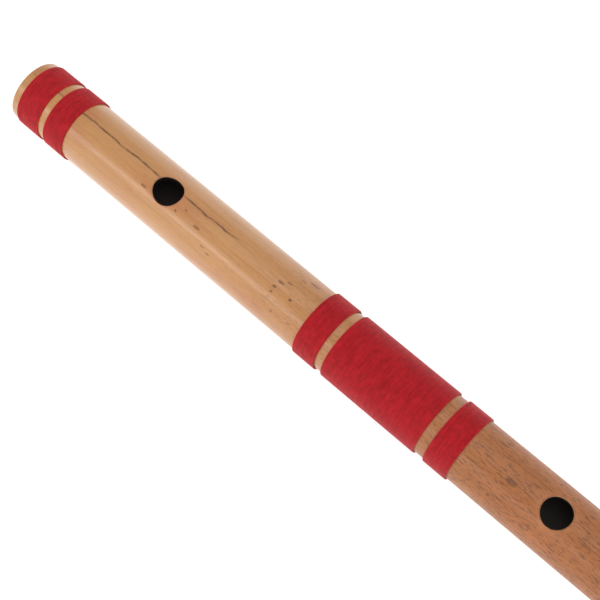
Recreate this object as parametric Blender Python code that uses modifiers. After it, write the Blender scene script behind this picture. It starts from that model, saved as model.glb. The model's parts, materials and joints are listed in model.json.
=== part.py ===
"""Bansuri: a side-blown bamboo flute with thread bindings.

Lengths are in metres.  The bore runs along X, with the head end at -X and the foot end at +X.
The blow hole and the finger holes open towards +Z.  The origin is on the bore's axis, halfway
along the tube.

Turned and wound pieces are made around Z and then laid along X by LAY_ALONG_X, which takes
+Z to +X and +X to -Z, so an angle of zero on them ends up under the flute.
"""

import math

import bmesh
import bpy
import numpy as np

MM = 0.001

# Tube
LENGTH = 475.0 * MM
OUTER_RADIUS = 12.5 * MM
WALL = 3.0 * MM
OUTER_RIM_ROUND = 0.7 * MM
INNER_RIM_ROUND = 0.4 * MM
RIM_ARC_STEPS = 3
TUBE_SIDES = 64

# Holes: the blow hole is a little longer than wide, and the finger holes are round
BLOW_HOLE_FROM_HEAD = 74.5 * MM
BLOW_HOLE_LENGTH = 11.8 * MM
BLOW_HOLE_WIDTH = 11.0 * MM
FIRST_FINGER_HOLE_FROM_BLOW_HOLE = 178.2 * MM
FINGER_HOLE_SPACINGS = (28.3 * MM, 29.5 * MM, 36.0 * MM, 27.0 * MM, 35.0 * MM)
FINGER_HOLE_DIAMETERS = (11.0 * MM, 10.4 * MM, 10.4 * MM, 10.0 * MM, 10.4 * MM, 10.4 * MM)
HOLE_EDGE_ROUND = 0.5 * MM
HOLE_SIDES = 32
HOLE_EDGE_RUN_ON = 0.5
HOLE_CUTTER_CLEARANCE = 2.0 * MM

# Cork stopper
CORK_FROM_BLOW_HOLE = 17.0 * MM
CORK_LENGTH = 16.0 * MM
CORK_FIT = 0.3 * MM
CORK_CHAMFER = 0.6 * MM
CORK_SIDES = 48

# Thread bindings: the foot end carries the same pair as the head end
END_LIP = 3.4 * MM
END_BAND_LENGTH = 11.4 * MM
END_BAND_GAP = 2.8 * MM
END_INNER_BAND_LENGTH = 10.5 * MM
MIDDLE_GROUP_FROM_BLOW_HOLE = 71.4 * MM
MIDDLE_HEAD_SIDE_LENGTH = 10.3 * MM
MIDDLE_HEAD_SIDE_GAP = 3.1 * MM
MIDDLE_WIDE_LENGTH = 43.0 * MM
MIDDLE_FOOT_SIDE_GAP = 3.9 * MM
MIDDLE_FOOT_SIDE_LENGTH = 10.3 * MM

# Winding of a binding: one flat strand of thread, laid in square loops that climb at the back
BINDING_FIT = 0.3 * MM
STRAND_THICKNESS = 0.42 * MM
STRAND_PITCH = 2.6 * MM
STRAND_GAP = 0.5 * MM
STRAND_EDGE_SLOPE = 0.14 * MM
LEAST_GAP_ALLOWED = 0.4 * MM
LOOP_POINTS = 24
CLIMB_POINTS = 7
GAP_SAMPLES_PER_STEP = 4

# Derived sizes
BORE_RADIUS = OUTER_RADIUS - WALL
HEAD_X = -LENGTH / 2
FOOT_X = LENGTH / 2
BLOW_HOLE_X = HEAD_X + BLOW_HOLE_FROM_HEAD

LAY_ALONG_X = (0.0, math.radians(90.0), 0.0)
SCREW_MERGE = 0.01 * MM
SHARP_ANGLE = math.radians(35.0)

BAMBOO = {"name": "bamboo", "color": (0.56, 0.33, 0.15, 1.0), "roughness": 0.42}
CORK = {"name": "cork", "color": (0.42, 0.25, 0.13, 1.0), "roughness": 0.9}
THREAD = {"name": "red_thread", "color": (0.46, 0.018, 0.028, 1.0), "roughness": 0.55}


def clear_scene():
    """Remove every object that the file starts with."""
    for obj in list(bpy.data.objects):
        bpy.data.objects.remove(obj, do_unlink=True)


def new_collection(name):
    """Return a new collection linked to the scene."""
    collection = bpy.data.collections.new(name)
    bpy.context.scene.collection.children.link(collection)
    return collection


def make_material(finish):
    """Return a Principled material with the finish's colour and roughness."""
    material = bpy.data.materials.new(finish["name"])
    material.use_nodes = True
    shader = material.node_tree.nodes["Principled BSDF"]
    shader.inputs["Base Color"].default_value = finish["color"]
    shader.inputs["Roughness"].default_value = finish["roughness"]
    shader.inputs["Metallic"].default_value = 0.0
    material.diffuse_color = finish["color"]
    return material


def add_object(name, data, collection, parent=None):
    """Return a new object in a collection, under a parent if one is given."""
    obj = bpy.data.objects.new(name, data)
    collection.objects.link(obj)
    obj.parent = parent
    return obj


def as_guide(obj):
    """Mark an object as a cutter or a guide, which is not part of the flute."""
    obj.hide_render = True
    obj.display_type = "WIRE"


def corner_arc(radius, height, round_radius, start_degrees):
    """Return the points of a quarter arc around (radius, height), turning clockwise."""
    points = []
    for step in range(RIM_ARC_STEPS + 1):
        angle = math.radians(start_degrees - 90.0 * step / RIM_ARC_STEPS)
        points.append((radius + round_radius * math.cos(angle), height + round_radius * math.sin(angle)))
    return points


def tube_profile():
    """Return the wall's closed outline as (radius, height), down the outside and up the bore."""
    top = LENGTH / 2
    outer = OUTER_RADIUS - OUTER_RIM_ROUND
    inner = BORE_RADIUS + INNER_RIM_ROUND
    outer_height = top - OUTER_RIM_ROUND
    inner_height = top - INNER_RIM_ROUND
    return (
        corner_arc(outer, outer_height, OUTER_RIM_ROUND, 90.0)
        + corner_arc(outer, -outer_height, OUTER_RIM_ROUND, 0.0)
        + corner_arc(inner, -inner_height, INNER_RIM_ROUND, -90.0)
        + corner_arc(inner, inner_height, INNER_RIM_ROUND, 180.0)
    )


def cork_profile():
    """Return the cork's outline as (radius, height), from the axis, down its side, to the axis."""
    radius = BORE_RADIUS - CORK_FIT
    top = CORK_LENGTH / 2
    return [
        (0.0, top),
        (radius - CORK_CHAMFER, top),
        (radius, top - CORK_CHAMFER),
        (radius, CORK_CHAMFER - top),
        (radius - CORK_CHAMFER, -top),
        (0.0, -top),
    ]


def turned_object(name, profile, closed, sides, collection, parent):
    """Return an object whose profile is turned around Z by a Screw modifier."""
    edges = [(index, index + 1) for index in range(len(profile) - 1)]
    if closed:
        edges.append((len(profile) - 1, 0))
    mesh = bpy.data.meshes.new(name)
    mesh.from_pydata([(radius, 0.0, height) for radius, height in profile], edges, [])
    obj = add_object(name, mesh, collection, parent)
    screw = obj.modifiers.new("turn", "SCREW")
    screw.axis = "Z"
    screw.angle = 2.0 * math.pi
    screw.steps = sides
    screw.render_steps = sides
    screw.use_merge_vertices = True
    screw.merge_threshold = SCREW_MERGE
    screw.use_smooth_shade = True
    obj.rotation_euler = LAY_ALONG_X
    return obj


def apply_modifiers(obj):
    """Swap an object's mesh for its evaluated one, shaded smooth but for its sharp edges."""
    evaluated = obj.evaluated_get(bpy.context.evaluated_depsgraph_get())
    mesh = bpy.data.meshes.new_from_object(evaluated)
    mesh.name = obj.name
    obj.modifiers.clear()
    obj.data = mesh
    mesh.shade_smooth()
    mesh.set_sharp_from_angle(angle=SHARP_ANGLE)


def outer_surface_height(across):
    """Return the height of the tube's outside above the bore's axis, at a distance across."""
    return math.sqrt(max(OUTER_RADIUS**2 - across**2, 0.0))


def hole_ring(length, width, grow, height_at):
    """Return an oval ring, grown outwards, whose height depends on the distance across."""
    points = []
    for side in range(HOLE_SIDES):
        angle = 2.0 * math.pi * side / HOLE_SIDES
        across = (width / 2 + grow) * math.sin(angle)
        points.append(((length / 2 + grow) * math.cos(angle), across, height_at(across)))
    return points


def hole_rings(length, width):
    """Return the rings of a hole's cutter, from inside the bore to above the tube.

    The middle rings follow the tube's round outside, so the hole's edge is rounded alike all
    the way around it, in two flats.
    """
    flat_corner = HOLE_EDGE_ROUND * (1.0 - math.sqrt(0.5))
    run_on = HOLE_EDGE_RUN_ON * flat_corner
    widest = HOLE_EDGE_ROUND + HOLE_EDGE_RUN_ON * (HOLE_EDGE_ROUND - flat_corner)
    return (
        hole_ring(length, width, 0.0, lambda across: BORE_RADIUS / 2),
        hole_ring(length, width, 0.0, lambda across: outer_surface_height(across) - HOLE_EDGE_ROUND),
        hole_ring(length, width, flat_corner, lambda across: outer_surface_height(across) - flat_corner),
        hole_ring(length, width, widest, lambda across: outer_surface_height(across) + run_on),
        hole_ring(length, width, widest, lambda across: OUTER_RADIUS + HOLE_CUTTER_CLEARANCE),
    )


def make_hole_cutter(name, x, length, width, collection):
    """Return a cutter for one hole, lofted through its rings."""
    build = bmesh.new()
    rings = [[build.verts.new(point) for point in ring] for ring in hole_rings(length, width)]
    for lower, upper in zip(rings, rings[1:]):
        for side in range(HOLE_SIDES):
            after = (side + 1) % HOLE_SIDES
            build.faces.new((lower[side], lower[after], upper[after], upper[side]))
    build.faces.new(reversed(rings[0]))
    build.faces.new(rings[-1])
    mesh = bpy.data.meshes.new(name)
    build.to_mesh(mesh)
    build.free()
    cutter = add_object(name, mesh, collection)
    cutter.location = (x, 0.0, 0.0)
    as_guide(cutter)
    return cutter


def finger_hole_places():
    """Return each finger hole's place along X, from the blow hole towards the foot."""
    places = [BLOW_HOLE_X + FIRST_FINGER_HOLE_FROM_BLOW_HOLE]
    for spacing in FINGER_HOLE_SPACINGS:
        places.append(places[-1] + spacing)
    return places


def make_tube(collection, cutters, parent):
    """Make the bamboo tube and cut its blow hole and finger holes."""
    tube = turned_object("bamboo_tube", tube_profile(), True, TUBE_SIDES, collection, parent)
    make_hole_cutter("blow_hole_cutter", BLOW_HOLE_X, BLOW_HOLE_LENGTH, BLOW_HOLE_WIDTH, cutters)
    for number, (x, diameter) in enumerate(zip(finger_hole_places(), FINGER_HOLE_DIAMETERS), start=1):
        make_hole_cutter(f"finger_hole_cutter_{number}", x, diameter, diameter, cutters)
    cut = tube.modifiers.new("holes", "BOOLEAN")
    cut.operation = "DIFFERENCE"
    cut.solver = "EXACT"
    cut.operand_type = "COLLECTION"
    cut.collection = cutters
    bpy.context.view_layer.update()
    apply_modifiers(tube)
    tube.data.materials.append(make_material(BAMBOO))


def make_cork(collection, parent):
    """Make the cork that closes the bore on the head side of the blow hole."""
    cork = turned_object("cork_stopper", cork_profile(), False, CORK_SIDES, collection, parent)
    cork.location = (BLOW_HOLE_X - CORK_FROM_BLOW_HOLE - CORK_LENGTH / 2, 0.0, 0.0)
    bpy.context.view_layer.update()
    apply_modifiers(cork)
    cork.data.materials.append(make_material(CORK))


def smooth_step(share):
    """Return a share from 0 to 1 eased at both ends."""
    return share * share * (3.0 - 2.0 * share)


def strand_point(steps, pitch, radius):
    """Return a point of the strand's middle line, after a number of steps along it.

    A loop lies square to the axis and climbs to the next one in its last CLIMB_POINTS steps.
    The climb is centred on the angle zero, and a flat of the loop lies there too.
    """
    square_steps = LOOP_POINTS - CLIMB_POINTS
    loop = math.floor(steps / LOOP_POINTS)
    within = steps - loop * LOOP_POINTS
    climbed = smooth_step(max(within - square_steps, 0.0) / CLIMB_POINTS)
    angle = 2.0 * math.pi * (within + CLIMB_POINTS / 2) / LOOP_POINTS
    return (radius * math.cos(angle), radius * math.sin(angle), (loop + climbed) * pitch)


def least_gap(pitch, width, radius, steps):
    """Return the least gap of a strand to itself, measured between points on its middle line."""
    count = steps * GAP_SAMPLES_PER_STEP + 1
    points = np.array([strand_point(i / GAP_SAMPLES_PER_STEP, pitch, radius) for i in range(count)])
    half_loop = LOOP_POINTS * GAP_SAMPLES_PER_STEP // 2
    nearest = math.inf
    for index in range(count - half_loop):
        apart = np.linalg.norm(points[index + half_loop:] - points[index], axis=1)
        nearest = min(nearest, float(apart.min()))
    return nearest - width


def make_strand_section(name, width, collection):
    """Return the strand's flat section: wide against the tube, a little narrower outside."""
    curve = bpy.data.curves.new(name, "CURVE")
    curve.dimensions = "2D"
    half = width / 2
    corners = (
        (-STRAND_THICKNESS / 2, half),
        (STRAND_THICKNESS / 2, half - STRAND_EDGE_SLOPE),
        (STRAND_THICKNESS / 2, STRAND_EDGE_SLOPE - half),
        (-STRAND_THICKNESS / 2, -half),
    )
    spline = curve.splines.new("POLY")
    spline.points.add(len(corners) - 1)
    for point, (radial, along) in zip(spline.points, corners):
        point.co = (radial, along, 0.0, 1.0)
    spline.use_cyclic_u = True
    section = add_object(name, curve, collection)
    as_guide(section)
    return section


def make_binding(name, start_x, length, material, collection, guides, parent):
    """Wind one binding, from start_x towards the foot, as one unbroken strand."""
    loops = max(round((length + STRAND_GAP) / STRAND_PITCH), 2)
    pitch = (length + STRAND_GAP) / loops
    width = pitch - STRAND_GAP
    flat_share = math.cos(math.pi / LOOP_POINTS)
    radius = (OUTER_RADIUS + BINDING_FIT) / flat_share + STRAND_THICKNESS / 2
    steps = loops * LOOP_POINTS - CLIMB_POINTS

    curve = bpy.data.curves.new(name, "CURVE")
    curve.dimensions = "3D"
    curve.twist_mode = "Z_UP"
    curve.bevel_mode = "OBJECT"
    curve.bevel_object = make_strand_section(f"{name}_section", width, guides)
    curve.use_fill_caps = True
    spline = curve.splines.new("POLY")
    spline.points.add(steps)
    for index, point in enumerate(spline.points):
        point.co = (*strand_point(index, pitch, radius), 1.0)
    binding = add_object(name, curve, collection, parent)
    binding.location = (start_x + width / 2, 0.0, 0.0)
    binding.rotation_euler = LAY_ALONG_X
    curve.materials.append(material)

    gap = least_gap(pitch, width, radius, steps)
    print(f"{name}: {loops} loops, least gap to itself {gap / MM:.3f} mm")
    if gap <= LEAST_GAP_ALLOWED:
        print(f"{name}: the gap is under {LEAST_GAP_ALLOWED / MM:.1f} mm")


def binding_places():
    """Return each binding's name, its start along X and its length."""
    head_inner = HEAD_X + END_LIP + END_BAND_LENGTH + END_BAND_GAP
    foot_outer = FOOT_X - END_LIP - END_BAND_LENGTH
    middle_head = BLOW_HOLE_X + MIDDLE_GROUP_FROM_BLOW_HOLE
    middle_wide = middle_head + MIDDLE_HEAD_SIDE_LENGTH + MIDDLE_HEAD_SIDE_GAP
    middle_foot = middle_wide + MIDDLE_WIDE_LENGTH + MIDDLE_FOOT_SIDE_GAP
    return (
        ("head_binding_outer", HEAD_X + END_LIP, END_BAND_LENGTH),
        ("head_binding_inner", head_inner, END_INNER_BAND_LENGTH),
        ("middle_binding_head_side", middle_head, MIDDLE_HEAD_SIDE_LENGTH),
        ("middle_binding_wide", middle_wide, MIDDLE_WIDE_LENGTH),
        ("middle_binding_foot_side", middle_foot, MIDDLE_FOOT_SIDE_LENGTH),
        ("foot_binding_inner", foot_outer - END_BAND_GAP - END_INNER_BAND_LENGTH, END_INNER_BAND_LENGTH),
        ("foot_binding_outer", foot_outer, END_BAND_LENGTH),
    )


def main():
    """Build the whole flute."""
    clear_scene()
    parts = new_collection("bansuri")
    hole_cutters = new_collection("bansuri_hole_cutters")
    section_guides = new_collection("bansuri_section_guides")
    flute = add_object("bansuri_origin", None, parts)

    make_tube(parts, hole_cutters, flute)
    make_cork(parts, flute)
    thread = make_material(THREAD)
    for name, start_x, length in binding_places():
        make_binding(name, start_x, length, thread, parts, section_guides, flute)


main()
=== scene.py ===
"""Bansuri: the looks of a side-blown bamboo flute with bands of red thread.

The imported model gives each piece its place.  Lengths are in metres, +X runs along the bore from
the head end to the foot end, and the blow hole and the finger holes open towards +Z.  Materials
work in millimetres.
"""

import json
import logging
import math
from collections.abc import Callable
from dataclasses import dataclass
from enum import Enum

import bmesh
import bpy
import numpy as np
from mathutils import Matrix, Vector


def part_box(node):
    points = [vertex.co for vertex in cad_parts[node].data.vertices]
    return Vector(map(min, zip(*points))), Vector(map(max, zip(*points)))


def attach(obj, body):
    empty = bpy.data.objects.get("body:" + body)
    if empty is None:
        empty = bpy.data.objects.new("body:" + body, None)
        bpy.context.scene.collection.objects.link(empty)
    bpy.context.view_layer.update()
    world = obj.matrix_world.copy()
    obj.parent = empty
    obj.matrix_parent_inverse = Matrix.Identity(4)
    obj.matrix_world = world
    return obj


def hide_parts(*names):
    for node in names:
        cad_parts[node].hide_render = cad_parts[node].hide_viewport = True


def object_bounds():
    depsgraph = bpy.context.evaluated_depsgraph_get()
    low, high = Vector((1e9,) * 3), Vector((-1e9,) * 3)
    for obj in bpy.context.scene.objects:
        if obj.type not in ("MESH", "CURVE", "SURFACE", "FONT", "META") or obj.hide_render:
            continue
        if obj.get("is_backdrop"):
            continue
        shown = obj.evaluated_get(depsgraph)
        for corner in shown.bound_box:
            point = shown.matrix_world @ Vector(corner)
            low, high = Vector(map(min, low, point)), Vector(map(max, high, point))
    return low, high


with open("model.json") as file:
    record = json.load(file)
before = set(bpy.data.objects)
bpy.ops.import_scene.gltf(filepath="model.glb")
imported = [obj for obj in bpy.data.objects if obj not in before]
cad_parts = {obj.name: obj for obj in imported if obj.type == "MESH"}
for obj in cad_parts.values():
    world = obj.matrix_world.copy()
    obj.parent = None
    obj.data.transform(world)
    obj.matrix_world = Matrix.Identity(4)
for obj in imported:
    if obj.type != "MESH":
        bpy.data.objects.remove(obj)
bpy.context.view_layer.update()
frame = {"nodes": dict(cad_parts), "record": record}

MM = 0.001
PER_MM = 1000.0
TINY = 0.01 * MM
ALONG_X = (0.0, math.radians(90.0), 0.0)
ALONG_Y = (math.radians(90.0), 0.0, 0.0)
INWARDS = -1.0
SHARP_DEGREES = 40.0
LOG = logging.getLogger("bansuri")
Colour = tuple[float, float, float, float]
Triple = tuple[float, float, float]
Material = bpy.types.Material
Piece = bpy.types.Object

# The curve between a screen's colours and light
SCREEN_FULL = 255.0
SCREEN_KNEE = 0.04045
SCREEN_SLOPE = 12.92
SCREEN_LIFT = 0.055
SCREEN_POWER = 2.4

# A Mix node has one set of sockets for each kind of data, and these are the ones for colours
MIX_SHARE = 0
MIX_FIRST = 6
MIX_SECOND = 7
MIX_RESULT = 2

# Noise lies around this value
NOISE_MIDDLE = 0.5

# A face looks along an axis where its normal has more than this along it, and squarely with FLAT
FACING = 0.5
FLAT = 0.95


class Slot(Enum):
    """The record's material slots."""

    BAMBOO = "bamboo"
    CORK = "cork"
    THREAD = "red_thread"


class Place(Enum):
    """Where a face of the tube lies, in the order of the tube's materials."""

    SKIN = 0
    CUT_END = 1
    BORE = 2
    HOLE_WALL = 3


class Pick(Enum):
    """What is picked in edit mode."""

    EDGES = "EDGE"
    FACES = "FACE"


class Ends(Enum):
    """Whether a new cylinder has end faces."""

    OPEN = "NOTHING"
    CLOSED = "NGON"


def screen_colour(red: int, green: int, blue: int) -> Colour:
    """Turn a colour as a screen shows it into the linear colour that a shader takes.

    Args:
        red: Red, from 0 to 255.
        green: Green, from 0 to 255.
        blue: Blue, from 0 to 255.

    Returns:
        The linear colour with full alpha.
    """
    linear = []
    for channel in (red, green, blue):
        share = channel / SCREEN_FULL
        if share <= SCREEN_KNEE:
            linear.append(share / SCREEN_SLOPE)
        else:
            linear.append(((share + SCREEN_LIFT) / (1.0 + SCREEN_LIFT)) ** SCREEN_POWER)
    return (*linear, 1.0)


def activate(piece: Piece) -> None:
    """Make a piece the only selected object and the active one.

    Args:
        piece: The piece.
    """
    bpy.ops.object.select_all(action="DESELECT")
    piece.select_set(True)
    bpy.context.view_layer.objects.active = piece


def settle(piece: Piece, name: str) -> Piece:
    """Name a new piece and move its place, turn and scale into its mesh.

    Args:
        piece: The piece.
        name: Its name.

    Returns:
        The same piece.
    """
    piece.name = name
    piece.data.name = name
    activate(piece)
    bpy.ops.object.transform_apply(location=True, rotation=True, scale=True)
    return piece


def add_cylinder(name: str, start: float, end: float, radius: float, sides: int, ends: Ends) -> Piece:
    """Add a cylinder around the flute's axis.

    Args:
        name: The new piece's name.
        start: Where it starts along X.
        end: Where it ends along X.
        radius: Its radius.
        sides: How many sides it has.
        ends: Whether it has end faces.

    Returns:
        The cylinder.
    """
    bpy.ops.object.select_all(action="DESELECT")
    bpy.ops.mesh.primitive_cylinder_add(
        vertices=sides, radius=radius, depth=end - start, end_fill_type=ends.value,
        location=((start + end) / 2, 0.0, 0.0), rotation=ALONG_X,
    )
    return settle(bpy.context.object, name)


def give_wall(piece: Piece, thickness: float) -> None:
    """Add a modifier that gives an open shell a wall on its inner side.

    Args:
        piece: The shell.
        thickness: The wall's thickness.
    """
    wall = piece.modifiers.new("wall", "SOLIDIFY")
    wall.thickness = thickness
    wall.offset = INWARDS


def apply_modifiers(piece: Piece) -> None:
    """Apply every modifier of a piece, in order.

    Args:
        piece: The piece.
    """
    activate(piece)
    for modifier in list(piece.modifiers):
        bpy.ops.object.modifier_apply(modifier=modifier.name)


def pick(
    piece: Piece,
    kind: Pick,
    wanted: Callable[[bmesh.types.BMEdge | bmesh.types.BMFace], bool],
) -> None:
    """Select the wanted edges or faces of a piece in edit mode, and no others.

    Args:
        piece: The piece that is being edited.
        kind: Whether edges or faces are picked.
        wanted: Says of an edge or a face whether it is picked.
    """
    bpy.ops.mesh.select_mode(type=kind.value)
    bpy.ops.mesh.select_all(action="DESELECT")
    build = bmesh.from_edit_mesh(piece.data)
    for element in build.edges if kind is Pick.EDGES else build.faces:
        element.select_set(wanted(element))
    bmesh.update_edit_mesh(piece.data)


def extrude_up(height: float) -> None:
    """Extrude the selected faces towards +Z."""
    bpy.ops.mesh.extrude_region_move(TRANSFORM_OT_translate={"value": (0.0, 0.0, height)})


def dress(piece: Piece, materials: list[Material], sharp_degrees: float) -> None:
    """Shade a piece smooth but for its sharp edges, and give it its materials.

    Args:
        piece: The piece.
        materials: Its materials, in order.
        sharp_degrees: An edge that turns by more than this stays sharp.
    """
    activate(piece)
    bpy.ops.object.shade_smooth_by_angle(angle=math.radians(sharp_degrees))
    piece.data.materials.clear()
    for material in materials:
        piece.data.materials.append(material)


def place_piece(piece: Piece, node: str) -> Piece:
    """Attach a finished piece to the root body and hide the imported part that it replaces.

    Args:
        piece: The piece.
        node: The node that it replaces.

    Returns:
        The same piece.
    """
    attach(piece, "root")
    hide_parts(node)
    return piece


@dataclass(frozen=True)
class Step:
    """A smooth step from 0 to 1, with the values where it starts and ends."""

    low: float
    high: float


@dataclass(frozen=True)
class Grain:
    """Noise on a piece: cells in a millimetre along X, Y and Z, finer layers, and a shift."""

    per_mm: Triple
    detail: float
    shift: float = 0.0


class Signal:
    """A shader socket that takes part in Python arithmetic by adding Math nodes."""

    def __init__(self, shader: "Shader", node: bpy.types.Node, output: int | str) -> None:
        """Hold one output of a node.

        Args:
            shader: The material that the node belongs to.
            node: The node.
            output: The output's name or number.
        """
        self.shader = shader
        self.source = node
        self.socket = node.outputs[output]

    def _math(self, operation: str, first: "Signal | float", second: "Signal | float") -> "Signal":
        """Add a Math node for an operation on two values."""
        return self.shader.node("ShaderNodeMath", {"operation": operation}, {0: first, 1: second})

    def other(self, output: int | str) -> "Signal":
        """Return another output of the same node."""
        return Signal(self.shader, self.source, output)

    def __add__(self, value: "Signal | float") -> "Signal":
        """Add a value."""
        return self._math("ADD", self, value)

    __radd__ = __add__

    def __sub__(self, value: "Signal | float") -> "Signal":
        """Take a value away."""
        return self._math("SUBTRACT", self, value)

    def __rsub__(self, value: "Signal | float") -> "Signal":
        """Take this signal away from a value."""
        return self._math("SUBTRACT", value, self)

    def __mul__(self, value: "Signal | float") -> "Signal":
        """Multiply by a value."""
        return self._math("MULTIPLY", self, value)

    __rmul__ = __mul__

    def __truediv__(self, value: "Signal | float") -> "Signal":
        """Divide by a value."""
        return self._math("DIVIDE", self, value)

    def __pow__(self, value: "Signal | float") -> "Signal":
        """Raise to a power."""
        return self._math("POWER", self, value)

    def at_least(self, value: "Signal | float") -> "Signal":
        """Return the larger of this signal and a value."""
        return self._math("MAXIMUM", self, value)

    def angle_from(self, value: "Signal | float") -> "Signal":
        """Return the angle of the point that lies this signal across and a value along."""
        return self._math("ARCTAN2", self, value)

    def rise(self, step: Step) -> "Signal":
        """Return 0 below a step, 1 above it and a smooth change between.

        Args:
            step: The step.

        Returns:
            The stepped signal.
        """
        return self.shader.node(
            "ShaderNodeMapRange",
            {"interpolation_type": "SMOOTHSTEP"},
            {"Value": self, "From Min": step.low, "From Max": step.high},
        )


class Shader:
    """A material whose nodes are added by one method."""

    def __init__(self, name: str) -> None:
        """Start a material with its Principled shader.

        Args:
            name: The material's name.
        """
        self.finished = bpy.data.materials.new(name)
        self.finished.use_nodes = True
        self.tree = self.finished.node_tree
        self.surface = self.tree.nodes["Principled BSDF"]
        self.place = self.node("ShaderNodeTexCoord", {}, {}, "Object")

    def fill(self, node: bpy.types.Node, inputs: dict) -> None:
        """Set or link a node's sockets.

        Args:
            node: The node.
            inputs: Values or signals by the socket's name or number.
        """
        for key, value in inputs.items():
            if isinstance(value, Signal):
                self.tree.links.new(value.socket, node.inputs[key])
            else:
                node.inputs[key].default_value = value

    def node(self, kind: str, settings: dict, inputs: dict, output: int | str = 0) -> Signal:
        """Add a node.

        Args:
            kind: The node's type.
            settings: The node's own settings, which are set first.
            inputs: Values or signals by the socket's name or number.
            output: The output to return.

        Returns:
            The output as a signal.
        """
        node = self.tree.nodes.new(kind)
        for key, value in settings.items():
            setattr(node, key, value)
        self.fill(node, inputs)
        return Signal(self, node, output)

    def mix(self, share: Signal | float, first: Signal | Colour, second: Signal | Colour) -> Signal:
        """Mix two colours.

        Args:
            share: How much of the second colour shows, from 0 to 1.
            first: The colour at 0.
            second: The colour at 1.

        Returns:
            The mixed colour.
        """
        inputs = {MIX_SHARE: share, MIX_FIRST: first, MIX_SECOND: second}
        return self.node("ShaderNodeMix", {"data_type": "RGBA", "clamp_factor": True}, inputs, MIX_RESULT)

    def noise(self, grain: Grain) -> Signal:
        """Return noise whose cells have their own length along each axis.

        Args:
            grain: The noise's cells, finer layers and shift.

        Returns:
            The noise, around NOISE_MIDDLE.
        """
        scale = tuple(cells * PER_MM for cells in grain.per_mm)
        moved = {"Vector": self.place, "Scale": scale, "Location": (grain.shift,) * 3}
        vector = self.node("ShaderNodeMapping", {}, moved)
        return self.node("ShaderNodeTexNoise", {}, {"Vector": vector, "Scale": 1.0, "Detail": grain.detail})

    def axes(self) -> tuple[Signal, Signal, Signal]:
        """Return the place's X, Y and Z in millimetres."""
        split = self.node("ShaderNodeSeparateXYZ", {}, {0: self.place}, "X")
        return split * PER_MM, split.other("Y") * PER_MM, split.other("Z") * PER_MM

    def from_axis(self) -> Signal:
        """Return the distance from the flute's axis in millimetres."""
        _, y, z = self.axes()
        return (y * y + z * z) ** 0.5

    def bump(self, height: Signal, depth: float, strength: float = 1.0) -> None:
        """Feed a height, from 0 to 1, to the surface's normal.

        Args:
            height: The height.
            depth: How deep a height of 1 is, in metres.
            strength: The share of the bump that shows.
        """
        inputs = {"Height": height, "Distance": depth, "Strength": strength}
        self.fill(self.surface, {"Normal": self.node("ShaderNodeBump", {}, inputs, "Normal")})

    def paint(self, inputs: dict) -> Material:
        """Set or link the surface's sockets and return the finished material."""
        self.fill(self.surface, inputs)
        return self.finished


@dataclass(frozen=True)
class Hole:
    """A hole in the tube, in metres: its place along X, its size and the corner it may have."""

    x: float
    length: float
    width: float
    corner: float = 0.0
    corner_degrees: float = 38.0
    corner_spread: float = 32.0

    def reach(self, angle: float) -> tuple[float, float]:
        """Return the hole's edge at an angle, along and across the tube.

        Args:
            angle: The angle from +X towards +Y, in radians.

        Returns:
            The distances along and across from the hole's centre.
        """
        off = (math.degrees(angle) - self.corner_degrees + 180.0) % 360.0 - 180.0
        pull = self.corner * math.exp(-((off / self.corner_spread) ** 2))
        return (self.length / 2 + pull) * math.cos(angle), (self.width / 2 + pull) * math.sin(angle)


@dataclass(frozen=True)
class Mark:
    """A dark mark on the bamboo's skin, in millimetres and degrees from the holes' line."""

    x: float
    degrees: float
    half_length: float
    half_width: float
    strength: float


SKIN_MARKS = (
    Mark(-107.4, 2.3, 1.2, 0.35, 0.75),
    Mark(-108.3, -9.2, 0.7, 0.45, 0.7),
    Mark(-104.8, 10.4, 1.0, 0.3, 0.6),
    Mark(-108.2, -19.3, 0.5, 0.35, 0.65),
    Mark(-100.6, -10.7, 0.55, 0.45, 0.8),
    Mark(-98.1, 39.6, 1.8, 0.5, 0.6),
    Mark(-102.0, 31.0, 1.1, 0.5, 0.35),
    Mark(-136.0, -40.8, 0.8, 0.3, 0.45),
    Mark(-139.1, -35.9, 0.9, 0.3, 0.4),
    Mark(-104.3, -45.4, 0.5, 0.5, 0.4),
    Mark(-96.4, -43.6, 0.7, 0.4, 0.35),
    Mark(-155.5, -17.5, 0.45, 0.35, 0.75),
    Mark(-152.2, -5.9, 0.5, 0.3, 0.6),
    Mark(-145.0, -16.9, 1.3, 0.4, 0.6),
    Mark(-171.4, -19.6, 1.1, 0.4, 0.6),
    Mark(-2.1, -8.9, 1.6, 1.0, 0.55),
    Mark(-5.9, -48.7, 0.6, 0.6, 0.6),
    Mark(-11.5, 34.5, 1.2, 0.3, 0.6),
    Mark(-16.4, -21.5, 4.2, 0.22, 0.5),
    Mark(4.5, 12.0, 1.4, 0.3, 0.4),
)


@dataclass(frozen=True)
class SkinPlace:
    """A place on the skin, in millimetres: along the tube, and around it from the holes' line."""

    along: Signal
    around: Signal
    radius: float

    def past_line(self, degrees: float) -> Signal:
        """Return how far around the tube the place lies past a line at an angle."""
        return self.around - math.radians(degrees) * self.radius


@dataclass(frozen=True)
class Cover:
    """A colour that noise lays over a finish: the noise, its step and the most that shows."""

    colour: Colour
    grain: Grain
    step: Step
    share: float


@dataclass(frozen=True)
class Layer:
    """A colour that noise lays over the bamboo, with its share at the head end and at the foot end."""

    colour: Colour
    grain: Grain
    step: Step
    at_head: float
    at_foot: float

    def cover(self, noise: Signal, towards_foot: Signal) -> Signal:
        """Return how much of the layer shows at a place.

        Args:
            noise: The layer's noise.
            towards_foot: How far the place is from the head end's share to the foot end's.

        Returns:
            The cover, from 0 to 1.
        """
        share = self.at_head + (self.at_foot - self.at_head) * towards_foot
        return noise.rise(self.step) * share


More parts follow.
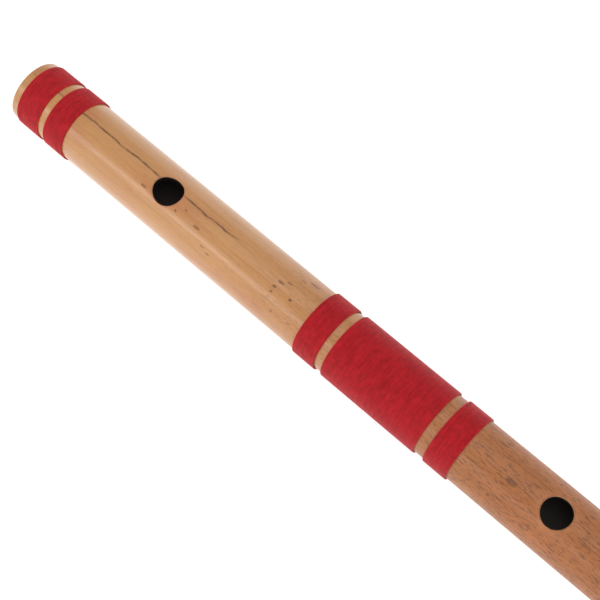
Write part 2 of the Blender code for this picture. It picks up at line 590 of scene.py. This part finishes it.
@dataclass(frozen=True)
class BambooSkin:
    """The bamboo's outside: fibres, flecks, marks, a long groove and scorched hole edges."""

    pale: Colour = screen_colour(203, 145, 88)
    warm: Colour = screen_colour(174, 104, 50)
    blush: Colour = screen_colour(190, 116, 68)
    straw: Colour = screen_colour(204, 150, 84)
    fibre: Colour = screen_colour(140, 84, 40)
    fleck: Colour = screen_colour(92, 50, 24)
    groove: Colour = screen_colour(98, 56, 28)
    scorch: Colour = screen_colour(70, 36, 20)

    # Where the colour turns from the head end's to the foot end's, in millimetres along the tube
    warming: Step = Step(-150.0, 6.0)
    patches: Layer = Layer(blush, Grain((0.035, 0.12, 0.12), 3.0), Step(0.5, 0.72), 0.55, 0.35)
    blotches: Layer = Layer(straw, Grain((0.06, 0.2, 0.2), 2.0, 7.0), Step(0.52, 0.75), 0.5, 0.12)
    fibres: Layer = Layer(fibre, Grain((0.05, 2.4, 2.4), 4.0), Step(0.42, 0.75), 0.28, 0.5)
    threads: Layer = Layer(fibre, Grain((0.16, 5.5, 5.5), 3.0, 3.0), Step(0.5, 0.8), 0.18, 0.38)
    spots: Layer = Layer(fleck, Grain((0.42, 2.7, 2.7), 3.0, 11.0), Step(0.56, 0.67), 0.12, 0.82)
    dashes: Layer = Layer(fleck, Grain((0.3, 1.9, 1.9), 4.0, 19.0), Step(0.54, 0.68), 0.06, 0.61)

    # The groove: its line, its edge by squared distance from the line, its bends and its breaks
    groove_degrees: float = 10.4
    groove_edge: Step = Step(0.0, 0.3)
    groove_bends: Grain = Grain((0.12, 0.0, 0.0), 3.0)
    groove_wander: float = 2.2
    groove_breaks: Grain = Grain((0.2, 0.0, 0.0), 2.0, 5.0)
    groove_whole: Step = Step(0.35, 0.6)
    groove_broken_share: float = 0.35

    # Where along the tube the groove gains its strength and loses it, and how faint it starts
    groove_start: Step = Step(-224.0, -210.0)
    groove_start_share: float = 0.4
    groove_end: Step = Step(-137.0, -125.0)
    groove_share: float = 0.9

    # The edges of marks and holes, by squared distance in their own half sizes
    mark_edge: Step = Step(0.6, 2.2)
    mark_rags: Grain = Grain((1.2, 2.6, 2.6), 2.0, 2.0)
    mark_raggedness: float = 2.2
    tint_edge: Step = Step(1.1, 2.4)
    tint_share: float = 0.3
    scorch_edge: Step = Step(1.08, 1.22)
    scorch_share: float = 0.4

    # The relief, as shares of its depth
    fibre_height: float = 0.5
    thread_height: float = 0.3
    spot_depth: float = 0.35
    groove_depth: float = 0.8
    mark_depth: float = 0.4
    relief: float = 0.09 * MM
    relief_share: float = 0.8

    # The gloss, which fades from the head end to the foot end
    roughness: float = 0.36
    fibre_roughness: float = 0.16
    spot_roughness: float = 0.1
    polish: float = 0.8
    polish_lost: float = 0.7
    polish_roughness: float = 0.2

    def material(self, holes: list[Hole], radius: float) -> Material:
        """Make the skin's material.

        Args:
            holes: The tube's holes.
            radius: The tube's outer radius, in metres.

        Returns:
            The material.
        """
        shader = Shader("bamboo_skin")
        x, y, z = shader.axes()
        place = SkinPlace(x, y.angle_from(z) * (radius * PER_MM), radius * PER_MM)
        towards_foot = x.rise(self.warming)
        layers = (self.patches, self.blotches, self.fibres, self.threads)
        noises = [shader.noise(layer.grain) for layer in layers]
        colour = shader.mix(towards_foot, self.pale, self.warm)
        for layer, noise in zip(layers, noises):
            colour = shader.mix(layer.cover(noise, towards_foot), colour, layer.colour)
        spotted = self.spots.cover(shader.noise(self.spots.grain), towards_foot)
        streaked = self.dashes.cover(shader.noise(self.dashes.grain), towards_foot)
        colour = shader.mix(spotted.at_least(streaked), colour, self.fleck)

        in_groove = self.in_groove(shader, place)
        colour = shader.mix(in_groove * self.groove_share, colour, self.groove)
        marked = self.marked(shader, place)
        colour = shader.mix(marked, colour, self.fleck)
        tinted, scorched = self.around_holes(place, holes)
        colour = shader.mix(tinted * self.tint_share, colour, self.blush)
        colour = shader.mix(scorched * self.scorch_share, colour, self.scorch)

        _, _, fibres, threads = noises
        height = NOISE_MIDDLE + (fibres - NOISE_MIDDLE) * self.fibre_height
        height = height + (threads - NOISE_MIDDLE) * self.thread_height
        height = height - self.spot_depth * spotted
        height = height - self.groove_depth * in_groove - self.mark_depth * marked
        shader.bump(height, self.relief, self.relief_share)
        return shader.paint({
            "Base Color": colour,
            "Roughness": self.roughness + self.fibre_roughness * fibres + self.spot_roughness * spotted,
            "Coat Weight": self.polish - self.polish_lost * towards_foot,
            "Coat Roughness": self.polish_roughness,
        })

    def in_groove(self, shader: Shader, place: SkinPlace) -> Signal:
        """Return how deep in the long groove a place is.

        Args:
            shader: The skin's shader.
            place: The place on the skin.

        Returns:
            The groove's strength, from 0 to 1.
        """
        wander = (shader.noise(self.groove_bends) - NOISE_MIDDLE) * self.groove_wander
        off = place.past_line(self.groove_degrees) + wander
        inside = 1.0 - (off * off).rise(self.groove_edge)
        before_end = 1.0 - place.along.rise(self.groove_end)
        past_start = place.along.rise(self.groove_start)
        started = self.groove_start_share + (1.0 - self.groove_start_share) * past_start
        whole = shader.noise(self.groove_breaks).rise(self.groove_whole)
        unbroken = self.groove_broken_share + (1.0 - self.groove_broken_share) * whole
        return inside * before_end * started * unbroken

    def marked(self, shader: Shader, place: SkinPlace) -> Signal:
        """Return how dark the skin's single marks are at a place.

        Args:
            shader: The skin's shader.
            place: The place on the skin.

        Returns:
            The marks' strength, from 0 to 1.
        """
        ragged = (shader.noise(self.mark_rags) - NOISE_MIDDLE) * self.mark_raggedness
        dark = None
        for mark in SKIN_MARKS:
            along = (place.along - mark.x) / mark.half_length
            across = place.past_line(mark.degrees) / mark.half_width
            away = along * along + across * across + ragged
            spot = (1.0 - away.rise(self.mark_edge)) * mark.strength
            dark = spot if dark is None else dark.at_least(spot)
        return dark

    def around_holes(self, place: SkinPlace, holes: list[Hole]) -> tuple[Signal, Signal]:
        """Return how near a place is to a hole, and how much the hole's edge is scorched there.

        Args:
            place: The place on the skin.
            holes: The tube's holes.

        Returns:
            The warm tint around a hole and the scorched edge, each from 0 to 1.
        """
        tinted = None
        scorched = None
        for hole in holes:
            along = (place.along - hole.x * PER_MM) / (hole.length / 2 * PER_MM)
            across = place.around / (hole.width / 2 * PER_MM)
            away = along * along + across * across
            tint = 1.0 - away.rise(self.tint_edge)
            burn = 1.0 - away.rise(self.scorch_edge)
            tinted = tint if tinted is None else tinted.at_least(tint)
            scorched = burn if scorched is None else scorched.at_least(burn)
        return tinted, scorched


@dataclass(frozen=True)
class CutEnd:
    """The tube's cut ends, with the ends of the fibres as dots."""

    cut: Colour = screen_colour(208, 168, 118)
    straw: Colour = screen_colour(204, 150, 84)
    dot: Colour = screen_colour(128, 84, 50)
    streaks: Grain = Grain((0.2, 0.4, 0.4), 3.0)
    streak_step: Step = Step(0.4, 0.7)
    dots_per_mm: float = 1.5
    dot_scatter: float = 0.9
    dot_edge: Step = Step(0.14, 0.3)

    # The dots get denser outwards, by millimetres from the axis
    outwards: Step = Step(9.5, 12.6)
    least_dots: float = 0.35
    more_dots: float = 0.5
    dot_depth: float = 0.6
    relief: float = 0.08 * MM
    roughness: float = 0.62
    dot_roughness: float = 0.1

    def material(self) -> Material:
        """Make the cut ends' material.

        Returns:
            The material.
        """
        shader = Shader("bamboo_cut_end")
        cells = {
            "Vector": shader.place,
            "Scale": self.dots_per_mm * PER_MM,
            "Randomness": self.dot_scatter,
        }
        from_dot = shader.node("ShaderNodeTexVoronoi", {}, cells, "Distance")
        density = self.least_dots + self.more_dots * shader.from_axis().rise(self.outwards)
        dots = (1.0 - from_dot.rise(self.dot_edge)) * density
        streaked = shader.noise(self.streaks).rise(self.streak_step)
        colour = shader.mix(dots, shader.mix(streaked, self.cut, self.straw), self.dot)
        shader.bump(1.0 - self.dot_depth * dots, self.relief)
        return shader.paint({"Base Color": colour, "Roughness": self.roughness + self.dot_roughness * dots})


@dataclass(frozen=True)
class BoreWall:
    """The bore's inside, coloured dark grey-brown as painted shade so that the holes look black."""

    # Painted shade: the bore's dark colour stands in for the shade inside it
    painted_shade: Colour = screen_colour(80, 74, 70)
    streak: Cover = Cover(screen_colour(70, 36, 20), Grain((0.06, 1.6, 1.6), 3.0), Step(0.4, 0.8), 0.4)
    relief: float = 0.12 * MM
    roughness: float = 0.62
    streak_roughness: float = 0.2

    def material(self) -> Material:
        """Make the bore's material.

        Returns:
            The material.
        """
        shader = Shader("bore_wall")
        streaks = shader.noise(self.streak.grain)
        share = streaks.rise(self.streak.step) * self.streak.share
        shader.bump(streaks, self.relief)
        return shader.paint({
            "Base Color": shader.mix(share, self.painted_shade, self.streak.colour),
            "Roughness": self.roughness + self.streak_roughness * streaks,
        })


@dataclass(frozen=True)
class HoleWall:
    """The holes' walls, charred black and browner at the rounded edge."""

    charred: Colour = screen_colour(12, 10, 9)
    edge: Colour = screen_colour(196, 140, 96)
    grit: Grain = Grain((1.4, 1.4, 1.4), 4.0)

    # The edge starts and is reached at these millimetres from the axis
    outwards: Step = Step(11.95, 12.2)
    edge_share: float = 0.65
    edge_grit: float = 0.6
    relief: float = 0.12 * MM
    roughness: float = 0.5
    grit_roughness: float = 0.3

    def material(self) -> Material:
        """Make the holes' material.

        Returns:
            The material.
        """
        shader = Shader("hole_wall")
        outwards = shader.from_axis().rise(self.outwards)
        grit = shader.noise(self.grit)
        share = outwards * (self.edge_share + self.edge_grit * grit)
        shader.bump(grit, self.relief)
        return shader.paint({
            "Base Color": shader.mix(share, self.charred, self.edge),
            "Roughness": self.roughness + self.grit_roughness * grit,
        })


@dataclass(frozen=True)
class ThreadFinish:
    """The red thread, with streaks along its turns, fine fibres and a soft sheen."""

    deep: Colour = screen_colour(166, 12, 22)
    bright: Colour = screen_colour(204, 26, 38)
    dark: Colour = screen_colour(96, 14, 22)
    turns: Grain = Grain((1.7, 0.12, 0.12), 3.0)
    turn_step: Step = Step(0.3, 0.75)
    least_bright: float = 0.15
    more_bright: float = 0.7
    fibres: Cover = Cover(dark, Grain((5.5, 1.1, 1.1), 3.0, 4.0), Step(0.52, 0.8), 0.55)
    patches: Cover = Cover(bright, Grain((0.16, 0.16, 0.16), 2.0, 9.0), Step(0.5, 0.8), 0.25)
    # Painted highlight: bright red glints laid over the thread's colour
    glints: Cover = Cover(
        screen_colour(222, 40, 50), Grain((0.55, 0.45, 0.45), 4.0, 14.0), Step(0.44, 0.64), 0.2
    )
    shadow_step: Step = Step(0.34, 0.5)
    shadow_share: float = 0.1
    turn_height: float = 0.5
    fibre_height: float = 0.5
    relief: float = 0.05 * MM
    roughness: float = 0.42
    fibre_roughness: float = 0.22
    gloss: float = 0.28
    sheen: float = 0.06
    sheen_roughness: float = 0.4
    sheen_tint: Colour = screen_colour(255, 190, 190)

    def material(self) -> Material:
        """Make the thread's material.

        Returns:
            The material.
        """
        shader = Shader("red_thread")
        turns = shader.noise(self.turns)
        covers = (self.fibres, self.patches, self.glints)
        noises = [shader.noise(cover.grain) for cover in covers]
        bright = self.least_bright + self.more_bright * turns.rise(self.turn_step)
        colour = shader.mix(bright, self.deep, self.bright)
        for cover, noise in zip(covers, noises):
            colour = shader.mix(noise.rise(cover.step) * cover.share, colour, cover.colour)
        # Painted shade: the thread is darkened where the glints' noise is low, between the painted
        # highlights
        fibres, _, glint_noise = noises
        shadows = (1.0 - glint_noise.rise(self.shadow_step)) * self.shadow_share
        colour = shader.mix(shadows, colour, self.dark)
        shader.bump(self.turn_height * turns + self.fibre_height * fibres, self.relief)
        return shader.paint({
            "Base Color": colour,
            "Roughness": self.roughness + self.fibre_roughness * fibres,
            "Specular IOR Level": self.gloss,
            "Sheen Weight": self.sheen,
            "Sheen Roughness": self.sheen_roughness,
            "Sheen Tint": self.sheen_tint,
        })


@dataclass(frozen=True)
class CorkFinish:
    """The cork, with its cells and pits."""

    body: Colour = screen_colour(184, 134, 88)
    cell: Colour = screen_colour(150, 98, 58)
    pit: Colour = screen_colour(82, 50, 28)
    cells: Grain = Grain((0.9, 0.9, 0.9), 4.0)
    cell_step: Step = Step(0.35, 0.7)
    pits: Grain = Grain((0.35, 0.55, 0.55), 3.0, 6.0)
    pit_step: Step = Step(0.6, 0.68)
    cell_height: float = 0.4
    relief: float = 0.25 * MM
    roughness: float = 0.8
    pit_roughness: float = 0.15

    def material(self) -> Material:
        """Make the cork's material.

        Returns:
            The material.
        """
        shader = Shader("cork")
        cells = shader.noise(self.cells)
        pits = shader.noise(self.pits).rise(self.pit_step)
        colour = shader.mix(cells.rise(self.cell_step), self.body, self.cell)
        shader.bump(cells * self.cell_height - pits, self.relief)
        return shader.paint({
            "Base Color": shader.mix(pits, colour, self.pit),
            "Roughness": self.roughness + self.pit_roughness * pits,
        })


@dataclass(frozen=True)
class Swell:
    """A slow wave in the bamboo's outer radius: its height, its count in the tube and its shift."""

    height: float
    waves: float
    shift: float


@dataclass
class BambooTube:
    """The bamboo tube, with its bore, blow hole, finger holes and rounded ends."""

    node: str = "bamboo_tube"
    outer_radius: float = 12.5 * MM
    wall: float = 3.0 * MM
    sides: int = 144
    rings: int = 96
    swells: tuple[Swell, ...] = (Swell(0.07 * MM, 1.35, -0.12), Swell(0.03 * MM, 3.7, 0.3))
    outer_rim: float = 0.7 * MM
    inner_rim: float = 0.4 * MM
    rim_steps: int = 4
    hole_sides: int = 72
    edge_round: float = 0.5 * MM
    edge_steps: int = 5
    blow_hole_length: float = 11.9 * MM
    blow_hole_width: float = 11.0 * MM
    blow_hole_corner: float = 0.3 * MM
    finger_hole_diameters: tuple[float, ...] = (
        11.0 * MM, 10.4 * MM, 10.4 * MM, 10.0 * MM, 10.4 * MM, 10.4 * MM,
    )

    # A hole's round stops half a step short of level, then flares by shares of its radius
    edge_left: float = 0.5
    edge_flare: float = 1.25
    edge_lift: float = 0.09
    cutter_above: float = 2.0 * MM

    # A face of the bore, a cut end or a hole points outwards by less than this
    bore_facing: float = -0.6
    end_facing: float = 0.75
    hole_facing: float = 0.8
    end_depth: float = 0.8 * outer_rim
    skin: BambooSkin = BambooSkin()
    cut_end: CutEnd = CutEnd()
    bore_wall: BoreWall = BoreWall()
    hole_wall: HoleWall = HoleWall()

    def skin_radius(self, x: float) -> float:
        """Return the bamboo's natural outer radius, a little uneven.

        Args:
            x: The place along the tube.

        Returns:
            The radius there.
        """
        share = x / (self.end - self.start)
        radius = self.outer_radius
        for swell in self.swells:
            radius += swell.height * math.sin(2.0 * math.pi * (swell.waves * share + swell.shift))
        return radius

    def read_frame(self) -> None:
        """Take the tube's ends and the holes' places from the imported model."""
        low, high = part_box(self.node)
        self.start = low.x
        self.end = high.x
        boxes = {space["name"]: space["box_m"] for space in frame["record"]["physics"]["openings"]}
        middles = {name: (box[0][0] + box[1][0]) / 2 for name, box in boxes.items()}
        blow = Hole(middles["blow_hole"], self.blow_hole_length, self.blow_hole_width, self.blow_hole_corner)
        self.holes = [blow]
        for number, diameter in enumerate(self.finger_hole_diameters, start=1):
            self.holes.append(Hole(middles[f"finger_hole_{number}"], diameter, diameter))

    def is_rim(self, edge: bmesh.types.BMEdge, outside: bool) -> bool:
        """Say whether an edge runs around an end of the tube.

        Args:
            edge: The edge.
            outside: Whether the rim on the wall's outside is meant, or the one on its inside.

        Returns:
            Whether it runs around that rim.
        """
        mid_wall = self.outer_radius - self.wall / 2
        for vertex in edge.verts:
            from_end = min(vertex.co.x - self.start, self.end - vertex.co.x)
            if from_end >= TINY or (math.hypot(vertex.co.y, vertex.co.z) > mid_wall) != outside:
                return False
        return True

    def make_wall(self) -> Piece:
        """Make the tube without holes: an open cylinder, ringed, given its wall and rounded rims.

        Returns:
            The tube.
        """
        tube = add_cylinder("flute_tube", self.start, self.end, self.outer_radius, self.sides, Ends.OPEN)
        half_length = (self.end - self.start) / 2
        bpy.ops.object.mode_set(mode="EDIT")
        pick(tube, Pick.EDGES, lambda edge: edge.calc_length() > half_length)
        bpy.ops.mesh.subdivide(number_cuts=self.rings - 1)
        bpy.ops.object.mode_set(mode="OBJECT")
        for vertex in tube.data.vertices:
            grow = self.skin_radius(vertex.co.x) / self.outer_radius
            vertex.co.yz = (vertex.co.y * grow, vertex.co.z * grow)
        give_wall(tube, self.wall)
        apply_modifiers(tube)

        bpy.ops.object.mode_set(mode="EDIT")
        pick(tube, Pick.EDGES, lambda edge: self.is_rim(edge, outside=True))
        bpy.ops.mesh.bevel(offset=self.outer_rim, segments=self.rim_steps, affect="EDGES")
        pick(tube, Pick.EDGES, lambda edge: self.is_rim(edge, outside=False))
        bpy.ops.mesh.bevel(offset=self.inner_rim, segments=self.rim_steps, affect="EDGES")
        bpy.ops.object.mode_set(mode="OBJECT")
        return tube

    def edge_profile(self) -> list[tuple[float, float]]:
        """Return the steps of a hole's rounded edge, from its wall up to just over the skin.

        Returns:
            How far out from the wall and how far over the skin each step lies.
        """
        steps = []
        for step in range(1, self.edge_steps + 1):
            angle = math.pi / 2 * step / (self.edge_steps + self.edge_left)
            out = self.edge_round * (1.0 - math.cos(angle))
            over = -self.edge_round * (1.0 - math.sin(angle))
            steps.append((out, over))
        steps.append((self.edge_round * self.edge_flare, self.edge_round * self.edge_lift))
        return steps

    def make_cutter(self, hole: Hole) -> Piece:
        """Make one hole's cutter, whose widening top follows the tube's round outside.

        Args:
            hole: The hole.

        Returns:
            The cutter.
        """
        skin = self.skin_radius(hole.x)
        bottom = (self.outer_radius - self.wall) / 2
        top = skin - self.edge_round
        bpy.ops.object.select_all(action="DESELECT")
        bpy.ops.mesh.primitive_cylinder_add(
            vertices=self.hole_sides, radius=hole.width / 2, depth=top - bottom,
            location=(hole.x, 0.0, (top + bottom) / 2),
        )
        cutter = settle(bpy.context.object, "hole_cutter")
        bpy.ops.object.mode_set(mode="EDIT")
        pick(cutter, Pick.FACES, lambda face: face.normal.z > FACING)
        last_out = 0.0
        last_over = -self.edge_round
        for out, over in self.edge_profile():
            extrude_up(over - last_over)
            wider = (hole.width / 2 + out) / (hole.width / 2 + last_out)
            bpy.ops.transform.resize(value=(wider, wider, 1.0), center_override=(hole.x, 0.0, 0.0))
            last_out = out
            last_over = over
        extrude_up(self.cutter_above)
        bpy.ops.object.mode_set(mode="OBJECT")
        for vertex in cutter.data.vertices:
            off_x = vertex.co.x - hole.x
            angle = math.atan2(vertex.co.y, off_x)
            out = math.hypot(off_x, vertex.co.y) - hole.width / 2
            along, across = hole.reach(angle)
            vertex.co.x = hole.x + along + out * math.cos(angle)
            vertex.co.y = across + out * math.sin(angle)
            if vertex.co.z > top - TINY:
                vertex.co.z += math.sqrt(skin**2 - vertex.co.y**2) - skin
        return cutter

    def place_of(self, face: bpy.types.MeshPolygon) -> Place:
        """Say where on the tube a face lies.

        Args:
            face: A face of the finished tube.

        Returns:
            Its place.
        """
        centre = face.center
        radius = math.hypot(centre.y, centre.z)
        outwards = Vector((0.0, centre.y, centre.z)).normalized().dot(face.normal)
        if outwards < self.bore_facing and radius < self.outer_radius - self.wall + self.inner_rim:
            return Place.BORE
        from_end = min(centre.x - self.start, self.end - centre.x)
        if from_end < self.end_depth and outwards < self.end_facing:
            return Place.CUT_END
        for hole in self.holes:
            reach = hole.length / 2 + self.edge_round
            beside = max(abs(centre.x - hole.x), abs(centre.y))
            if centre.z > 0.0 and beside < reach and outwards < self.hole_facing:
                return Place.HOLE_WALL
        return Place.SKIN

    def build(self) -> Piece:
        """Make the tube, cut its holes and give each face its finish.

        Returns:
            The tube.
        """
        self.read_frame()
        tube = self.make_wall()
        for hole in self.holes:
            cutter = self.make_cutter(hole)
            cut = tube.modifiers.new("hole", "BOOLEAN")
            cut.operation = "DIFFERENCE"
            cut.solver = "EXACT"
            cut.object = cutter
            apply_modifiers(tube)
            bpy.data.objects.remove(cutter, do_unlink=True)
        finishes = {
            Place.SKIN: self.skin.material(self.holes, self.outer_radius),
            Place.CUT_END: self.cut_end.material(),
            Place.BORE: self.bore_wall.material(),
            Place.HOLE_WALL: self.hole_wall.material(),
        }
        dress(tube, [finishes[place] for place in Place], SHARP_DEGREES)
        even = tube.modifiers.new("even_shading", "WEIGHTED_NORMAL")
        even.keep_sharp = True
        apply_modifiers(tube)
        for face in tube.data.polygons:
            face.material_index = self.place_of(face).value
        return place_piece(tube, self.node)


@dataclass
class ThreadBinding:
    """A band of fine thread, wound turn beside turn over a thin core."""

    node: str
    seed: int
    pitch: float = 0.36 * MM
    thread_height: float = 0.36 * MM
    thread_sides: int = 6
    turn_steps: int = 64
    sharp_degrees: float = 70.0
    unevenness: float = 0.022 * MM
    waves_per_turn: int = 5
    spare_knots: int = 8

    # The core ends a share of the pitch inside the band and lies a share of the thread under it
    core_inset: float = 0.25
    core_sunk: float = 0.7
    core_inner_radius: float = 12.62 * MM
    core_sides: int = 96
    core_round: float = 0.12 * MM
    core_round_steps: int = 3

    def make_core(self, start: float, end: float, outer: float) -> Piece:
        """Make the plain core under the thread, rounded at its ends.

        Args:
            start: Where the band starts along X.
            end: Where the band ends along X.
            outer: The outer radius of the winding.

        Returns:
            The core.
        """
        name = f"{self.node}_core"
        inset = self.core_inset * self.pitch
        radius = outer - self.core_sunk * self.thread_height
        core = add_cylinder(name, start + inset, end - inset, radius, self.core_sides, Ends.OPEN)
        give_wall(core, radius - self.core_inner_radius)
        rounded = core.modifiers.new("round", "BEVEL")
        rounded.width = self.core_round
        rounded.segments = self.core_round_steps
        rounded.limit_method = "ANGLE"
        apply_modifiers(core)
        return core

    def make_thread(self, start: float, end: float, outer: float) -> Piece:
        """Wind the thread as one unbroken helix, then make its turns a little uneven.

        Args:
            start: Where the band starts along X.
            end: Where the band ends along X.
            outer: The outer radius of the winding.

        Returns:
            The thread.
        """
        turns = round((end - start) / self.pitch) - 1
        bpy.ops.object.select_all(action="DESELECT")
        bpy.ops.mesh.primitive_circle_add(
            vertices=self.thread_sides, radius=self.thread_height / 2,
            location=(start + self.pitch / 2, 0.0, self.thread_height / 2 - outer),
            rotation=ALONG_Y,
        )
        thread = settle(bpy.context.object, f"{self.node}_thread")
        wind = thread.modifiers.new("wind", "SCREW")
        wind.axis = "X"
        wind.screw_offset = (end - start - self.pitch) / turns
        wind.iterations = turns
        wind.steps = self.turn_steps
        wind.render_steps = self.turn_steps
        wind.use_merge_vertices = False
        apply_modifiers(thread)
        self.make_uneven(thread, turns, outer)
        bpy.ops.object.mode_set(mode="EDIT")
        bpy.ops.mesh.select_all(action="SELECT")
        bpy.ops.mesh.fill_holes(sides=self.thread_sides)
        bpy.ops.mesh.select_all(action="SELECT")
        bpy.ops.mesh.normals_make_consistent(inside=False)
        bpy.ops.object.mode_set(mode="OBJECT")
        return thread

    def make_uneven(self, thread: Piece, turns: int, outer: float) -> None:
        """Press some stretches of the thread inwards, by amounts that change smoothly along it.

        Args:
            thread: The wound thread.
            turns: How many turns it has.
            outer: The outer radius, which no point passes.
        """
        count = len(thread.data.vertices)
        places = np.empty(count * 3)
        thread.data.vertices.foreach_get("co", places)
        places = places.reshape(count, 3)
        angles = np.arctan2(places[:, 1], -places[:, 2]).reshape(-1, self.thread_sides)
        angles = np.unwrap(angles, axis=0)
        turned = np.abs(angles - angles[0]).ravel() / (2.0 * math.pi)
        knots = np.random.default_rng(self.seed).random(turns * self.waves_per_turn + self.spare_knots)
        spot = turned * self.waves_per_turn
        before = np.floor(spot).astype(int)
        part = spot - before
        ease = part * part * (3.0 - 2.0 * part)
        press = self.unevenness * (knots[before] * (1.0 - ease) + knots[before + 1] * ease)
        radii = np.hypot(places[:, 1], places[:, 2])
        shrink = np.minimum(radii - press, outer) / radii
        places[:, 1] *= shrink
        places[:, 2] *= shrink
        thread.data.vertices.foreach_set("co", places.ravel())
        thread.data.update()

    def build(self, material: Material) -> Piece:
        """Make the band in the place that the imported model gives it.

        Args:
            material: The thread's material.

        Returns:
            The band, as one piece.
        """
        low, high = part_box(self.node)
        outer = min(high.y, high.z)
        thread = self.make_thread(low.x, high.x, outer)
        core = self.make_core(low.x, high.x, outer)
        activate(thread)
        core.select_set(True)
        bpy.ops.object.join()
        band = settle(thread, f"{self.node}_wound")
        dress(band, [material], self.sharp_degrees)
        return place_piece(band, self.node)


@dataclass
class CorkStopper:
    """The cork that closes the bore beside the blow hole."""

    node: str = "cork_stopper"
    sides: int = 72
    taper: float = 0.97
    chamfer: float = 0.6 * MM
    chamfer_steps: int = 3
    hollow_inset: float = 3.0 * MM
    hollow_depth: float = 0.15 * MM

    def build(self, material: Material) -> Piece:
        """Make the cork, slightly tapered towards the blow hole and softened at its edges.

        Args:
            material: The cork's material.

        Returns:
            The cork.
        """
        low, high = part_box(self.node)
        cork = add_cylinder("cork_plug", low.x, high.x, (high.z - low.z) / 2, self.sides, Ends.CLOSED)
        bpy.ops.object.mode_set(mode="EDIT")
        pick(cork, Pick.FACES, lambda face: face.normal.x > FACING)
        bpy.ops.transform.resize(value=(1.0, self.taper, self.taper), center_override=(high.x, 0.0, 0.0))
        pick(cork, Pick.FACES, lambda face: abs(face.normal.x) > FACING)
        bpy.ops.mesh.region_to_loop()
        bpy.ops.mesh.bevel(offset=self.chamfer, segments=self.chamfer_steps, affect="EDGES")
        pick(cork, Pick.FACES, lambda face: abs(face.normal.x) > FLAT)
        bpy.ops.mesh.inset(thickness=self.hollow_inset, depth=-self.hollow_depth)
        bpy.ops.object.mode_set(mode="OBJECT")
        dress(cork, [material], SHARP_DEGREES)
        return place_piece(cork, self.node)


@dataclass(frozen=True)
class SoftLight:
    """A soft light: its place, what it looks at, its size and its power."""

    name: str
    place: Triple
    target: Triple
    size: tuple[float, float]
    power: float

    def build(self) -> None:
        """Add the light."""
        data = bpy.data.lights.new(self.name, "AREA")
        data.shape = "RECTANGLE"
        data.size, data.size_y = self.size
        data.energy = self.power
        light = bpy.data.objects.new(self.name, data)
        bpy.context.scene.collection.objects.link(light)
        light.location = self.place
        aim = Vector(self.target) - Vector(self.place)
        light.rotation_euler = aim.to_track_quat("-Z", "Y").to_euler()


@dataclass
class Studio:
    """The pale floor, the soft lights and the camera."""

    floor_side: float = 6.0
    floor_colour: Colour = (0.45, 0.45, 0.45, 1.0)
    floor_shade: Colour = (0.43, 0.43, 0.43, 1.0)
    floor_clouds: Grain = Grain((0.004, 0.004, 0.004), 1.0)
    floor_roughness: float = 0.75
    floor_light: Colour = (1.0, 1.0, 1.0, 1.0)
    floor_glow: float = 0.8
    sky: Colour = (1.0, 1.0, 1.0, 1.0)
    sky_strength: float = 0.42
    camera_place: Triple = (0.0384, -0.0914, 0.4574)
    camera_right: Triple = (0.7379, 0.6691, -0.0887)
    camera_up: Triple = (-0.6106, 0.7178, 0.3346)
    camera_back: Triple = (0.2875, -0.1927, 0.9382)
    nearest: float = 0.01
    lens: float = 81.62
    sensor: float = 36.0
    lights: tuple[SoftLight, ...] = (
        SoftLight("soft_box", (-0.12, -0.53, 0.28), (-0.06, 0.0, 0.0), (1.0, 0.55), 1.0),
        SoftLight("streak", (-0.12, -0.44, 0.42), (-0.06, 0.0, 0.0), (1.1, 0.12), 1.1),
        SoftLight("top", (0.1, 0.25, 0.95), (0.0, 0.0, 0.0), (1.1, 0.9), 3.9),
        SoftLight("far_rim", (0.0, 0.75, 0.16), (-0.03, 0.0, 0.0), (1.2, 0.3), 0.9),
    )

    def build(self) -> None:
        """Set up the camera, the lights and the world."""
        scene = bpy.context.scene
        scene.view_settings.view_transform = "Standard"
        camera = bpy.data.objects.new("camera", bpy.data.cameras.new("camera"))
        scene.collection.objects.link(camera)
        columns = Matrix((self.camera_right, self.camera_up, self.camera_back)).transposed()
        camera.matrix_world = Matrix.Translation(self.camera_place) @ columns.to_4x4()
        camera.data.lens = self.lens
        camera.data.sensor_width = self.sensor
        camera.data.clip_start = self.nearest
        scene.camera = camera
        for light in self.lights:
            light.build()
        world = bpy.data.worlds.new("sky")
        world.use_nodes = True
        background = world.node_tree.nodes["Background"]
        background.inputs["Color"].default_value = self.sky
        background.inputs["Strength"].default_value = self.sky_strength
        scene.world = world

    def lay_floor(self, height: float) -> None:
        """Lay the floor under the flute.

        Args:
            height: The floor's height.
        """
        bpy.ops.object.select_all(action="DESELECT")
        bpy.ops.mesh.primitive_plane_add(size=self.floor_side, location=(0.0, 0.0, height))
        floor = settle(bpy.context.object, "floor")
        shader = Shader("pale_floor")
        clouds = shader.noise(self.floor_clouds)
        floor.data.materials.append(shader.paint({
            "Base Color": shader.mix(clouds, self.floor_colour, self.floor_shade),
            "Roughness": self.floor_roughness,
            "Emission Color": self.floor_light,
            "Emission Strength": self.floor_glow,
        }))
        floor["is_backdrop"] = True


def main() -> None:
    """Build the studio and every piece of the flute, and report each piece."""
    logging.basicConfig(level=logging.INFO, format="%(message)s")
    studio = Studio()
    studio.build()
    pieces = [BambooTube().build()]
    thread = ThreadFinish().material()
    bands = sorted(name for name in frame["nodes"] if "binding" in name)
    for seed, name in enumerate(bands, start=1):
        pieces.append(ThreadBinding(name, seed).build(thread))
    pieces.append(CorkStopper().build(CorkFinish().material()))
    for piece in pieces:
        LOG.info("%s: %d faces", piece.name, len(piece.data.polygons))
    studio.lay_floor(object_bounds()[0].z)


if __name__ == "__main__":
    main()
